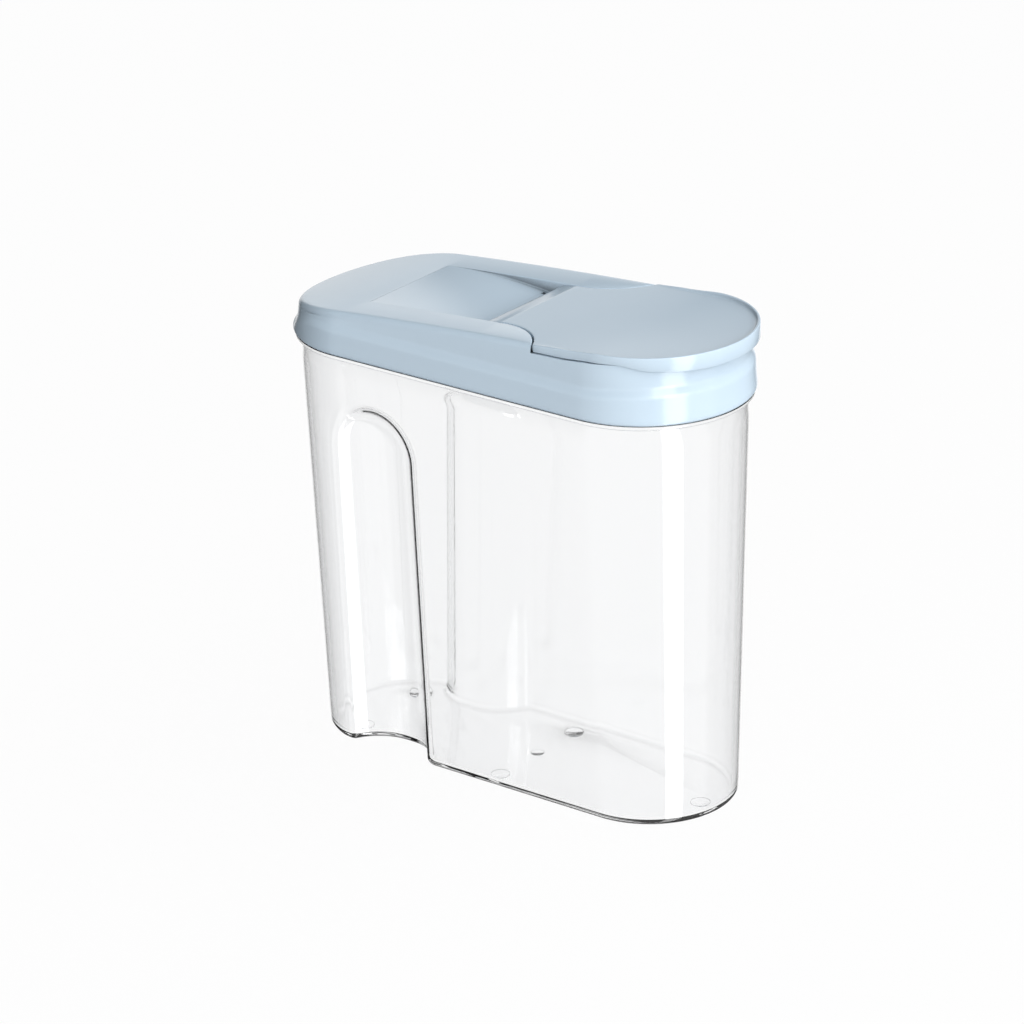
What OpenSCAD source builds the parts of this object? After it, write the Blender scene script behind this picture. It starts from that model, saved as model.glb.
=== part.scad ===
// Cereal container: a clear tub with grip recesses, a lift-off lid and a
// hinged flap over the pour opening. Origin: middle of the footprint, +X to
// the pouring end, +Z up, millimetres.

/* [Tub] */
// Length of the tub over its straight walls at the base
base_length = 194; // [190:1:225]
// Width of the tub at the base
base_width = 70.7; // [68:0.1:84]
// Height of the tub's rim above the table
tub_height = 183; // [160:1:230]
// Outward lean of the walls, in degrees
draft = 2; // [1:0.1:2.5]
// Wall thickness of the tub
tub_wall = 2.2; // [1.2:0.1:3]
// Thickness of the tub's floor
floor_thickness = 2; // [1.4:0.1:3]
// Rounding of the outer bottom edge
base_round = 3; // [2:0.1:4]
// How far the rim flange stands out of the wall
flange_reach = 2.2; // [1.2:0.1:3]
// Thickness of the rim flange
flange_thickness = 1.5; // [1:0.1:2.4]
// Height of the rim above the flange
rim_height = 6.7; // [6:0.1:10]
// How far the snap bead stands out of the rim
bead_reach = 0.35; // [0.2:0.05:0.5]

/* [Grip recesses] */
// Middle of each grip recess in front of the centre of the rear round end
grip_ahead = 14.15; // [12:0.05:22]
// Distance of each recess's arch centre below the rim
grip_drop = 48.5; // [44:0.5:80]
// Depth of each recess
grip_depth = 12.5; // [8:0.1:13]
// Radius of the hollow of each recess
grip_radius = 19; // [17:0.5:22]
// Half width of the flat at the bottom of the hollow
grip_flat = 1.8; // [1:0.1:3]
// Rounding of the recess edge
grip_edge = 6; // [4:0.1:7]

/* [Feet] */
// Diameter of a foot pad
foot_diameter = 8; // [6:0.5:10]
// Height of a foot pad
foot_height = 0.6; // [0.4:0.1:1]
// Distance of the rear foot pads behind the centre of the rear round end
foot_rear_back = 10.85; // [0:0.05:12]
// Distance of the rear foot pads from the centre line
foot_rear_y = 20; // [14:0.5:21]
// Distance of the middle foot pads in front of the middle
foot_mid_x = 4; // [0:0.5:20]
// Distance of the middle foot pads from the centre line
foot_mid_y = 25; // [15:0.5:26]
// Distance of the front foot pad in front of the centre of the front round end
foot_front_ahead = 24.35; // [10:0.05:25]

/* [Lid] */
// Rise of the top over the tub's rim where its rear end starts to roll down
rear_rise = 11.6; // [10.8:0.1:12.6]
// Rise of the top over the tub's rim in the middle
middle_rise = 16.7; // [16:0.1:17.4]
// Rise of the top over the tub's rim at the front
front_rise = 21.3; // [20:0.1:22.5]
// Wall thickness of the lid
lid_wall = 1.6; // [1.2:0.1:2]
// Clearance between the lid's skirt and the tub's bead
lid_clearance = 0.3; // [0.2:0.05:0.5]
// Height of the full lower band of the skirt
band_height = 12.2; // [11:0.1:13]
// How far the lower band stands out of the upper band
band_reach = 1.7; // [1:0.1:2.2]
// How far the band's foot flares out past it
foot_flare = 0.4; // [0:0.1:0.8]
// Rise of the band's ledge towards the front
front_lift = 2.2; // [0:0.1:3]
// Where the lower band starts to dip, behind the centre of the rear round end
dip_start = 8.35; // [4:0.5:14]
// Radius of that dip
dip_radius = 42; // [36:1:60]
// Height of the lower band left at the rear end
dip_height = 3.9; // [3:0.1:6]
// Lean of the upper band, in degrees
upper_draft = 4.5; // [2:0.5:6]
// Depth of the plug wall inside the tub's mouth
plug_depth = 6; // [4:0.5:7]
// Thickness of the lid's silicone ring
seal_thickness = 1.8; // [1.6:0.1:2.4]

/* [Flap] */
// Thickness of the flap
flap_wall = 1.6; // [1.2:0.1:2]
// How far the flap's nose reaches past the lid's upper band
nose_reach = 5.4; // [3:0.1:7]
// Half width of the flap's tail
tail_half = 24.7; // [20:0.1:26]
// Distance of the hinge axis in front of the middle
hinge_x = 3.6; // [0:0.1:6]
// Depth of the hinge axis under the top
hinge_depth = 3.3; // [3.1:0.1:3.6]
// Radius of the hinge barrel
barrel_radius = 2.6; // [2.2:0.1:2.8]
// Radius of a hinge pin
pin_radius = 1.6; // [1.2:0.1:1.8]
// Length of a hinge pin beyond the tail
pin_length = 3.2; // [2.5:0.1:4]
// Radial running clearance of a hinge pin
pin_clearance = 0.08; // [0.04:0.01:0.1]
// Gap between the flap and the lid's shoulders
flap_gap = 0.6; // [0.5:0.05:1]
// Radius of the curved shoulders beside the flap
shoulder_radius = 28.5; // [26:0.5:32]
// Where the curved shoulders start
shoulder_x = 12; // [8:0.5:14]
// Length of the bevel behind the top of the tail
bevel_length = 6.4; // [5:0.1:8]
// Height of the raised rim round the flap's nose
nose_rim = 1.5; // [0.8:0.1:2]

/* [Press recess] */
// Length of the recess from the hinge axis back to where it runs out
recess_length = 61.6; // [50:0.1:62]
// Depth of the recess under the hinge axis
recess_under = 3.3; // [3.1:0.1:3.8]
// Length of a moulding slot in the recess floor
slot_length = 6; // [4:0.5:8]

/* [Spout] */
// Radius of the front of the pour opening
spout_radius = 30; // [24:0.5:32]
// Centre of that round in front of the centre of the lid's front round end
spout_ahead = 1.35; // [0:0.05:3]
// Straight part of the opening behind that round's centre
spout_straight = 16; // [12:0.5:20]
// Corner rounding of the pour opening
spout_corner = 8; // [4:0.5:12]
// Wall thickness of the spout and width of its seal
spout_wall = 2; // [1.6:0.1:2.4]
// Thickness of the flap's silicone seal
spout_seal_thickness = 2.2; // [1.6:0.1:2.6]

/* [Hidden] */
$fn = 96;
BIG = 60;
SEAT = 0.3;
// Height of the top over the deck at the lid's rear end
DECK_COVER = 0.04;
// Middle line of the racetrack plan: half the distance between its round ends
track = (base_length - base_width) / 2;
lean = tan(draft);
function wall_r(z) = base_width / 2 + lean * z;
base_z = foot_height;
flange_top = tub_height - rim_height;
flange_z = flange_top - flange_thickness;
flange_r = wall_r(flange_z) + flange_reach;
bead_z = tub_height - 3.5;
bead_r = wall_r(bead_z) + bead_reach;
mouth_r = wall_r(flange_top) - tub_wall;
grip_fillet_d = grip_edge * 0.94;
grip_centre_d = grip_depth - grip_radius;
grip_x = grip_ahead - track;
grip_arch_z = tub_height - grip_drop;
grip_reach = grip_flat + sqrt(pow(grip_radius + grip_edge, 2) - pow(grip_fillet_d - grip_centre_d, 2));
// Lid levels
lid_z = flange_top + SEAT;
skirt_r = bead_r + lid_clearance;
seal_z = tub_height + SEAT;
shelf_z = seal_z + seal_thickness;
deck_z = shelf_z + lid_wall;
band_top = lid_z + band_height;
band_r = skirt_r + lid_wall + 0.2;
upper_r = band_r - band_reach;
plug_r = mouth_r - 0.5;
plug_wall = 1.4;
// Top of the lid: one arc through three heights, and a tangent arc that rolls
// down from it to just over the deck at the rear end
top_half = base_length / 2;
roll_x = track + 0.3;
dip_x = track + dip_start;
function across(a, b, c) = 2 * (a[0] * (b[1] - c[1]) + b[0] * (c[1] - a[1]) + c[0] * (a[1] - b[1]));
function sq(p) = p[0] * p[0] + p[1] * p[1];
function centre3(a, b, c) = [
    (sq(a) * (b[1] - c[1]) + sq(b) * (c[1] - a[1]) + sq(c) * (a[1] - b[1])) / across(a, b, c),
    (sq(a) * (c[0] - b[0]) + sq(b) * (a[0] - c[0]) + sq(c) * (b[0] - a[0])) / across(a, b, c)];
roll_p = [-roll_x, tub_height + rear_rise];
top_c = centre3(roll_p, [0, tub_height + middle_rise], [top_half, tub_height + front_rise]);
top_radius = norm(roll_p - top_c);
roll_dir = (roll_p - top_c) / top_radius;
roll_fall = roll_p - [-track - skirt_r, deck_z + DECK_COVER];
roll_radius = sq(roll_fall) / (2 * roll_fall * roll_dir);
roll_c = roll_p - roll_dir * roll_radius;
roll_turn = atan2(roll_p[1] - top_c[1], roll_p[0] - top_c[0]) - 90;
function top_z(x) = top_c[1] + sqrt(top_radius * top_radius - pow(x - top_c[0], 2));
// Hinge and press recess
hinge_z = top_z(hinge_x) - hinge_depth;
recess_lift = 0.06;
recess_fall = hinge_depth + recess_under + recess_lift;
recess_x = recess_length - hinge_x;
recess_run = recess_length;
recess_bend = recess_run * recess_run / (2 * recess_fall);
recess_radius = 1 / (1 / recess_bend + 1 / top_radius);
recess_dir = ([-recess_x, top_z(-recess_x)] - top_c) / top_radius;
recess_c = [-recess_x, top_z(-recess_x)] - recess_dir * (recess_radius - recess_lift);
step_x = shoulder_x - 1;
shoulder_y = tail_half + shoulder_radius;
// Flap
flap_r = upper_r - 0.9;
nose_x = track + nose_reach;
skirt_wall = 1.2;
rim_start = shoulder_x + 22;
rim_mid = track + 9.35;
rim_c = centre3([rim_start, top_z(rim_start)], [rim_mid, top_z(rim_mid) + nose_rim],
    [nose_x + flap_r, top_z(top_half) + nose_rim]);
rim_radius = norm([rim_start, top_z(rim_start)] - rim_c);
collar_r = flap_r - skirt_wall - 0.4;
collar_wall = 1.3;
// Lower edge of the flap's skirt, front to rear, as drops under the top
skirt_low = [[shoulder_x + 14, 2.6], [shoulder_x + 28, 3], [track + 12.35, 2.3], [track + 30.35, 4.9],
    [nose_x + BIG, 5.6]];
spout_x = track + spout_ahead;
spout_rear_x = spout_x - spout_straight;
spout_top_drop = flap_wall + spout_seal_thickness + 0.4;

// Sweep of an (r, z) profile round the whole racetrack
module track_sweep() {
    for (end = [0, 180])
        rotate([0, 0, end]) {
            translate([track, 0, 0]) rotate([0, 0, -90]) rotate_extrude(angle = 180) children();
            translate([-track, 0, 0]) rotate([90, 0, 90]) linear_extrude(2 * track) children();
        }
}
// Plan of the racetrack at radius r, with its front end moved out by extra
module track_plan(r, extra = 0) {
    translate([-track, 0]) circle(r);
    translate([track + extra, 0]) circle(r);
    translate([-track, -r]) square([2 * track + extra, 2 * r]);
}
// Prism of an (x, z) shape across the container
module across_prism(half) {
    translate([0, half, 0]) rotate([90, 0, 0]) linear_extrude(2 * half) children();
}
// Region under the lid's top, lowered by drop
module under_top(drop = 0) {
    intersection() {
        translate(top_c) circle(top_radius - drop, $fn = 1440);
        translate(roll_p) rotate(roll_turn) translate([0, -3 * BIG]) square(6 * BIG);
    }
    intersection() {
        translate(roll_c) circle(roll_radius - drop, $fn = 360);
        translate(roll_p) rotate(roll_turn) translate([-2 * BIG, -2 * BIG]) square([2 * BIG, 3 * BIG]);
    }
}

// ---- tub ----
module tub_profile(inset, bottom, round_r) {
    low = bottom + round_r;
    foot_r = wall_r(low) - inset - round_r;
    square_top = tub_height + (inset > 0 ? 2 : 0);
    polygon([[0, bottom], [foot_r, bottom], [foot_r, low], [foot_r + round_r, low],
        [wall_r(square_top) - inset, square_top], [0, square_top]]);
    translate([foot_r, low]) intersection() {
        circle(round_r);
        translate([0, -round_r]) square([round_r, round_r]);
    }
}
module tub_rim_profile() {
    inner = wall_r(flange_z) - 0.8;
    translate([inner, flange_z]) square([flange_r - 0.5 - inner, flange_thickness]);
    translate([inner, flange_z + 0.5]) square([flange_r - inner, flange_thickness - 1]);
    for (z = [flange_z + 0.5, flange_top - 0.5]) translate([flange_r - 0.5, z]) circle(0.5);
    translate([bead_r - 0.6, bead_z]) circle(0.6);
}
// Half cross-section of a grip recess: sideways, then depth; grown by g
module grip_profile(g) {
    reach = grip_reach;
    tangent = grip_radius / (grip_radius + grip_edge);
    touch = [grip_flat + (reach - grip_flat) * tangent,
        grip_centre_d + (grip_fillet_d - grip_centre_d) * tangent];
    intersection() {
        union() {
            translate([grip_flat, grip_centre_d]) circle(grip_radius + g);
            translate([0, -8]) square([grip_flat, grip_depth + g + 8]);
        }
        translate([0, -8]) square([reach - 2, grip_depth + g + 8]);
    }
    difference() {
        polygon([[touch[0] - 3, -8], [touch[0] - 3, touch[1]], touch, [reach, grip_fillet_d], [reach, -8]]);
        translate([reach, grip_fillet_d]) circle(grip_edge - g);
    }
}
module grip_cutter(g) {
    for (side = [0, 1])
        mirror([0, side, 0])
            translate([grip_x, -wall_r(grip_arch_z), grip_arch_z]) rotate([90 - draft, 0, 180]) {
                rotate_extrude(angle = 180) grip_profile(g);
                rotate([90, 0, 0]) linear_extrude(grip_arch_z + 10) {
                    grip_profile(g);
                    mirror([1, 0]) grip_profile(g);
                }
            }
}
module tub() {
    color([0.93, 0.95, 0.96, 0.35]) {
        difference() {
            union() {
                track_sweep() tub_profile(0, base_z, base_round);
                track_sweep() tub_rim_profile();
            }
            grip_cutter(0);
            difference() {
                track_sweep() tub_profile(tub_wall, base_z + floor_thickness, base_round - 0.6);
                grip_cutter(tub_wall);
            }
        }
        for (p = [[-track - foot_rear_back, -foot_rear_y], [-track - foot_rear_back, foot_rear_y],
                [foot_mid_x, -foot_mid_y], [foot_mid_x, foot_mid_y], [track + foot_front_ahead, 0]])
            translate([p[0], p[1], 0]) cylinder(d = foot_diameter, h = foot_height + 0.5);
    }
}

// ---- lid ----
// Upper band of the lid, up past its top
module lid_upper_profile() {
    rise = BIG / 2;
    foot_r = upper_r + tan(upper_draft) * band_height;
    polygon([[0, lid_z], [foot_r, lid_z], [foot_r - tan(upper_draft) * (band_height + rise), band_top + rise],
        [0, band_top + rise]]);
}
// Lower band, standing out of it, up past the ledge
module lid_band_profile() {
    foot = 1.2;
    foot_r = band_r + foot_flare;
    high = band_top + front_lift + 1;
    polygon([[skirt_r - 1, lid_z], [foot_r - foot, lid_z], [foot_r, lid_z + foot], [band_r, lid_z + 4 * foot],
        [band_r - 0.4, high], [skirt_r - 1, high]]);
    translate([foot_r - foot, lid_z + foot]) circle(foot);
}
// The ledge over the lower band: level, dipping round the rear end and
// sweeping up to the front
module under_ledge() {
    sweep_length = 34;
    sweep_radius = (pow(sweep_length, 2) + pow(front_lift, 2)) / (2 * max(front_lift, 0.01));
    translate([-dip_x, 0]) square([4 * BIG, band_top]);
    difference() {
        translate([track, band_top - 1]) square([2 * BIG, front_lift + 1]);
        translate([track, band_top + sweep_radius]) circle(sweep_radius, $fn = 720);
    }
    translate([-dip_x, band_top - dip_radius]) circle(dip_radius, $fn = 240);
    translate([-4 * BIG, 0]) square([4 * BIG, lid_z + dip_height]);
}
module lid_cavity_profile() {
    inner = upper_r - lid_wall;
    square([plug_r - plug_wall, deck_z]);
    translate([plug_r, 0]) square([skirt_r - plug_r, shelf_z]);
    square([skirt_r, tub_height - plug_depth]);
    polygon([[0, deck_z], [inner, deck_z], [inner - tan(upper_draft) * BIG / 2, deck_z + BIG / 2],
        [0, deck_z + BIG / 2]]);
}
// Plan of the hinged flap behind its nose, grown by g
module tail_plan(g, rear) {
    difference() {
        translate([rear, -BIG]) square([2.5 * BIG, 2 * BIG]);
        for (side = [-1, 1]) {
            translate([shoulder_x, side * shoulder_y]) circle(shoulder_radius - g);
            translate([rear - 1, side * (tail_half + g + BIG) - BIG]) square([shoulder_x - rear + 1, 2 * BIG]);
        }
    }
}
// Region over the floor of the press recess, lowered by drop
module over_recess(drop, front) {
    difference() {
        translate([-recess_x - 2, hinge_z - 20]) square([recess_x + 2 + front, BIG]);
        translate(recess_c) circle(recess_radius - drop, $fn = 720);
    }
}
module skirt_low_shape(g) {
    polygon(concat([for (p = skirt_low) [p[0], top_z(min(p[0], top_half)) - p[1] - g]],
        [[nose_x + BIG, tub_height + 2 * BIG], [skirt_low[0][0], tub_height + 2 * BIG]]));
}
module spout_plan(g) {
    corner = spout_corner + g;
    half = spout_radius + g;
    intersection() {
        translate([spout_x, 0]) circle(half);
        translate([spout_x, -half]) square([half, 2 * half]);
    }
    translate([spout_rear_x - g + corner, -half]) square([spout_x - spout_rear_x + g - corner, 2 * half]);
    translate([spout_rear_x - g, -half + corner]) square([spout_x - spout_rear_x + g, 2 * (half - corner)]);
    for (side = [-1, 1]) translate([spout_rear_x - g + corner, side * (half - corner)]) circle(corner);
}
module hinge_boss() {
    half = 4.6;
    for (side = [0, 1]) mirror([0, side, 0])
        translate([hinge_x - half, tail_half + flap_gap, hinge_z - half])
            cube([2 * half, pin_length + 1.8, half + hinge_depth]);
}
module lid_inside() {
    difference() {
        intersection() {
            track_sweep() lid_cavity_profile();
            across_prism(BIG) under_top(lid_wall);
        }
        across_prism(tail_half + flap_gap + lid_wall) over_recess(lid_wall, step_x + lid_wall);
        translate([0, 0, deck_z - lid_wall])
            linear_extrude(BIG) tail_plan(flap_gap + lid_wall, step_x - lid_wall);
        hinge_boss();
    }
}
module lid() {
    color([0.72, 0.80, 0.87]) {
        difference() {
            union() {
                intersection() {
                    track_sweep() lid_upper_profile();
                    across_prism(BIG) under_top();
                }
                intersection() {
                    track_sweep() lid_band_profile();
                    across_prism(BIG) under_ledge();
                }
            }
            lid_inside();
            // Press recess, the pocket under the flap and the seat of its skirt
            across_prism(tail_half + flap_gap) over_recess(0, step_x + 1);
            translate([0, 0, deck_z]) linear_extrude(BIG) intersection() {
                tail_plan(flap_gap, step_x);
                track_plan(collar_r - collar_wall);
            }
            intersection() {
                translate([0, 0, deck_z]) linear_extrude(BIG) difference() {
                    tail_plan(flap_gap, step_x);
                    track_plan(collar_r);
                }
                across_prism(BIG) skirt_low_shape(0.4);
            }
            intersection() {
                translate([0, 0, deck_z]) linear_extrude(BIG) tail_plan(flap_gap, step_x);
                across_prism(BIG) difference() {
                    translate([0, deck_z]) square([2 * BIG, BIG]);
                    under_top(flap_wall + 0.6);
                }
            }
            // Pour opening and hinge bores
            translate([0, 0, shelf_z - 1]) linear_extrude(BIG) spout_plan(0);
            translate([hinge_x, 0, hinge_z]) rotate([90, 0, 0])
                cylinder(r = pin_radius + pin_clearance, h = 2 * (tail_half + pin_length + 0.4), center = true);
            for (side = [-1, 1])
                translate([hinge_x - barrel_radius - slot_length - 1.5, side * (tail_half - 2) - 1, hinge_z - 15])
                    cube([slot_length, 2, 15]);
        }
        // Spout wall, cut level with the flap's seal
        intersection() {
            translate([0, 0, deck_z - 0.5]) linear_extrude(BIG) difference() {
                spout_plan(spout_wall);
                spout_plan(0);
            }
            across_prism(BIG) under_top(spout_top_drop);
        }
    }
}

// ---- flap ----
module flap_plan() {
    intersection() {
        tail_plan(0, shoulder_x - 2);
        track_plan(flap_r, nose_reach);
    }
}
module flap_tail_profile() {
    front = shoulder_x + 4;
    bevel_x = hinge_x + bevel_length;
    // Bevel runs from the top to the upper rear of the barrel
    dir = [bevel_x - hinge_x, top_z(bevel_x) - hinge_z];
    reach = norm(dir);
    turn = atan2(dir[1], dir[0]) + acos(barrel_radius / reach);
    touch = [hinge_x, hinge_z] + barrel_radius * [cos(turn), sin(turn)];
    intersection() {
        polygon([touch, [bevel_x, top_z(bevel_x)], [bevel_x, top_z(bevel_x) + 1], [front, top_z(front) + 1],
            [front, top_z(front) - flap_wall], [shoulder_x, top_z(shoulder_x) - flap_wall],
            [hinge_x + 1.2, hinge_z - 1], [hinge_x, hinge_z]]);
        under_top();
    }
    translate([hinge_x, hinge_z]) circle(barrel_radius);
}
module flap() {
    color([0.72, 0.80, 0.87]) {
        intersection() {
            translate([0, 0, deck_z]) linear_extrude(BIG) flap_plan();
            across_prism(BIG) difference() {
                under_top();
                under_top(flap_wall);
            }
        }
        across_prism(tail_half) flap_tail_profile();
        // Side skirt and raised nose rim
        intersection() {
            translate([0, 0, deck_z]) linear_extrude(BIG) difference() {
                flap_plan();
                track_plan(flap_r - skirt_wall, nose_reach);
            }
            across_prism(BIG) intersection() {
                skirt_low_shape(0);
                union() {
                    under_top();
                    intersection() {
                        translate(rim_c) circle(rim_radius, $fn = 720);
                        translate([rim_start, 0]) square(4 * BIG);
                    }
                }
            }
        }
        // Ribs that hold the seal
        intersection() {
            translate([0, 0, deck_z]) linear_extrude(BIG) {
                difference() {
                    spout_plan(-0.1);
                    spout_plan(-1.3);
                }
                difference() {
                    spout_plan(spout_wall + 1.3);
                    spout_plan(spout_wall + 0.1);
                }
            }
            across_prism(BIG) difference() {
                under_top(flap_wall / 2);
                under_top(flap_wall + spout_seal_thickness - 0.8);
            }
        }
        for (side = [0, 1]) mirror([0, side, 0])
            translate([hinge_x, tail_half - 1, hinge_z]) rotate([-90, 0, 0])
                cylinder(r = pin_radius, h = pin_length + 1);
    }
}

// ---- silicone seals ----
module lid_seal() {
    color([0.95, 0.96, 0.97])
        track_sweep() translate([plug_r + 0.1, seal_z]) square([skirt_r - plug_r - 0.2, shelf_z - seal_z]);
}
module spout_seal() {
    color([0.95, 0.96, 0.97])
        intersection() {
            translate([0, 0, deck_z]) linear_extrude(BIG) difference() {
                spout_plan(spout_wall);
                spout_plan(0);
            }
            across_prism(BIG) difference() {
                under_top(flap_wall);
                under_top(flap_wall + spout_seal_thickness);
            }
        }
}

tub();
lid();
flap();
lid_seal();
spout_seal();
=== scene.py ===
# %% [markdown]
# # A cereal container with a flip spout
# The object is a slim clear tub, a pale blue lid that snaps on its rim, and a flap that
# turns up at the front to pour. All three are injection mouldings, so every outline is a
# racetrack (two half circles joined by straight sides) and every wall is thin and even.
# The imported CAD model gives the frame: where each body is.

# %% Load the frame
import math

import bmesh
import bpy
from mathutils import Matrix, Vector


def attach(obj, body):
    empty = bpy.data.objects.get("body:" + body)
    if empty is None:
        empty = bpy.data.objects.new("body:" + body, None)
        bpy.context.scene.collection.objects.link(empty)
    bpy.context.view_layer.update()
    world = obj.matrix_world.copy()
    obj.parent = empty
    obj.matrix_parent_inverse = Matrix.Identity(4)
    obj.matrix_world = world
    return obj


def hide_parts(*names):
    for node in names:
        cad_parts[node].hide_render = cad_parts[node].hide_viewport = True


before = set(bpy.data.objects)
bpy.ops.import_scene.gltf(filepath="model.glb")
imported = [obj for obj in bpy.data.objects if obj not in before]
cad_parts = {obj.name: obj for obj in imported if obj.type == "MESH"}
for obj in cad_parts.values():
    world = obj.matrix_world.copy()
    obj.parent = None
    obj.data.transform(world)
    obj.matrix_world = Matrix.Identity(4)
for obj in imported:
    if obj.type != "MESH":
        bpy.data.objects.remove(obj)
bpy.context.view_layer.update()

# %% [markdown]
# ## The numbers that everything shares
# Sizes are in millimetres, as on a drawing, and become metres only when a mesh is made.
# Seen from above, every outline is drawn round the same two centres.

# %% Sizes in millimetres
MM = 0.001
TRACK = 61.65            # distance of each round end's centre from the middle
TOP = 200.0              # height of the lid's top while it is modelled flat
LID_WALL = 1.6
HINGE_X = 3.6
HINGE_DEPTH = 3.3        # of the hinge's axis under the top
TAIL_HALF = 24.7         # half width of the flap's tail
SHOULDER_X = 12.0        # where the tail starts to widen
SHOULDER_R = 28.5
FLAP_GAP = 0.6
print("the two centres are", 2 * TRACK, "mm apart")

# %% [markdown]
# ## The long curve of the top
# Seen from the side, the lid's top is one long arc that rises to the front, with a tighter
# arc rolling down at the rear. A circle through three heights gives the long arc. The roll
# has its centre on the same radius, so the two meet without a kink.


# %% Long curve
def circle_through(a, b, c):
    """Centre (x, z) and radius of the circle through three points."""
    sq = [p[0] ** 2 + p[1] ** 2 for p in (a, b, c)]
    twice = 2 * (a[0] * (b[1] - c[1]) + b[0] * (c[1] - a[1]) + c[0] * (a[1] - b[1]))
    x = (sq[0] * (b[1] - c[1]) + sq[1] * (c[1] - a[1]) + sq[2] * (a[1] - b[1])) / twice
    z = (sq[0] * (c[0] - b[0]) + sq[1] * (a[0] - c[0]) + sq[2] * (b[0] - a[0])) / twice
    return x, z, math.hypot(a[0] - x, a[1] - z)


MEET_X, MEET_Z = -62, 194.6      # where the two arcs meet
ARC = circle_through((MEET_X, MEET_Z), (0, 199.7), (97, 204.3))
ROLL_R = 238.0
ROLL = (MEET_X + (ARC[0] - MEET_X) * ROLL_R / ARC[2], MEET_Z + (ARC[1] - MEET_Z) * ROLL_R / ARC[2])


def top_z(x):
    """Height of the lid's top at a place along it."""
    if x > MEET_X:
        return ARC[1] + math.sqrt(ARC[2] ** 2 - (x - ARC[0]) ** 2)
    return ROLL[1] + math.sqrt(ROLL_R ** 2 - (x - ROLL[0]) ** 2)


print("top at rear, middle, front:", [round(top_z(x), 2) for x in (-103, 0, 100)])

# %% [markdown]
# ## The camera
# A long lens from a little above keeps the sides nearly parallel, as in a catalogue picture.
# It comes first, so that each piece can be judged in the final view.

# %% Camera
SENSOR = 36.0            # width of the camera's sensor
FOCAL_PIXELS, FRAME = 5600, 1024
azimuth, elevation = math.radians(38.32), math.radians(22.84)
yaw, pitch, roll = (math.radians(a) for a in (0.139, 0.191, 1.438))
target, distance = Vector((0, 0, 0.100)), 2.276
back = Vector((math.sin(azimuth) * math.cos(elevation),
               -math.cos(azimuth) * math.cos(elevation), math.sin(elevation)))
place = target + back * distance
ahead = -back
right = ahead.cross(Vector((0, 0, 1))).normalized()
up = right.cross(ahead).normalized()
turn = Matrix.Rotation(yaw, 3, up)
ahead, right = turn @ ahead, turn @ right
turn = Matrix.Rotation(pitch, 3, right)
ahead, up = turn @ ahead, turn @ up
turn = Matrix.Rotation(roll, 3, ahead)
right, up = turn @ right, turn @ up
lens = bpy.data.cameras.new("view_camera")
lens.sensor_width = SENSOR
lens.lens = FOCAL_PIXELS / FRAME * SENSOR
lens.clip_end = 20
camera = bpy.data.objects.new("view_camera", lens)
bpy.context.scene.collection.objects.link(camera)
turned = Matrix((right, up, -ahead)).transposed().to_4x4()
camera.matrix_world = Matrix.Translation(place) @ turned
bpy.context.scene.camera = camera
print("camera at", [round(c, 3) for c in camera.matrix_world.translation])

# %% [markdown]
# ## Stacking outlines
# A moulding is easiest to think of as a stack of outlines, like rubber bands at different
# heights: one circle is added, laid on the first outline, and extruded from outline to
# outline. The outlines may go up, down, out or in, so one stack makes a whole wall with
# its outside, its rim and its inside. All outlines of a stack have the same point count.


# %% Helpers for selecting and stacking
def deselect():
    if bpy.context.object and bpy.context.object.mode != "OBJECT":
        bpy.ops.object.mode_set(mode="OBJECT")
    bpy.ops.object.select_all(action="DESELECT")


def pick(piece):
    deselect()
    piece.select_set(True)
    bpy.context.view_layer.objects.active = piece


def stack(name, outlines, ring=False):
    """Extrude a circle of points through outlines of (x, y, z) in millimetres."""
    deselect()
    count = len(outlines[0])
    bpy.ops.mesh.primitive_circle_add(vertices=count, radius=0.03, fill_type="NOTHING")
    piece = bpy.context.object
    piece.name = piece.data.name = name
    bpy.ops.object.mode_set(mode="EDIT")
    bpy.ops.mesh.select_mode(type="VERT")
    mesh = bmesh.from_edit_mesh(piece.data)
    mesh.verts.ensure_lookup_table()
    first = list(mesh.verts)
    for v, p in zip(first, outlines[0]):
        v.co = Vector(p) * MM
    loop = first
    for outline in outlines[1:]:
        bpy.ops.mesh.extrude_edges_move()
        mesh = bmesh.from_edit_mesh(piece.data)
        loop = [next(e.other_vert(v) for e in v.link_edges if e.other_vert(v).select) for v in loop]
        for v, p in zip(loop, outline):
            v.co = Vector(p) * MM
    if ring:
        bpy.ops.mesh.select_all(action="DESELECT")
        bpy.ops.mesh.select_non_manifold(extend=False)
        bpy.ops.mesh.bridge_edge_loops()
    else:
        for end in (loop, first):
            mesh.faces.new(end)
    bpy.ops.mesh.select_all(action="SELECT")
    bpy.ops.mesh.normals_make_consistent(inside=False)
    bpy.ops.object.mode_set(mode="OBJECT")
    return piece


def arc(centre_x, centre_y, radius, start, end, steps):
    """Points of an arc about a centre, angles in degrees."""
    turns = [math.radians(start + (end - start) * i / steps) for i in range(steps + 1)]
    return [(centre_x + radius * math.cos(t), centre_y + radius * math.sin(t)) for t in turns]


def smooth(t):
    """Ease from 0 to 1."""
    t = min(1.0, max(0.0, t))
    return t * t * (3 - 2 * t)


def eased(x, marks):
    """Value at x, eased between the marks of (x, value)."""
    for (x0, d0), (x1, d1) in zip(marks, marks[1:]):
        if x <= x1:
            return d0 + (d1 - d0) * smooth((x - x0) / (x1 - x0))
    return marks[-1][1]


print("a quarter rounding in 4 steps has", len(arc(0, 0, 1, 0, 90, 4)), "points")

# %% [markdown]
# ## The racetrack plan
# The round ends get all the points, because the straight sides need none. A plan is a
# function that gives an outline's points (x, y) at a size, and most pieces are one plan
# stacked at changing sizes and heights.

# %% Racetrack plan
CAP_STEPS = 64


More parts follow.
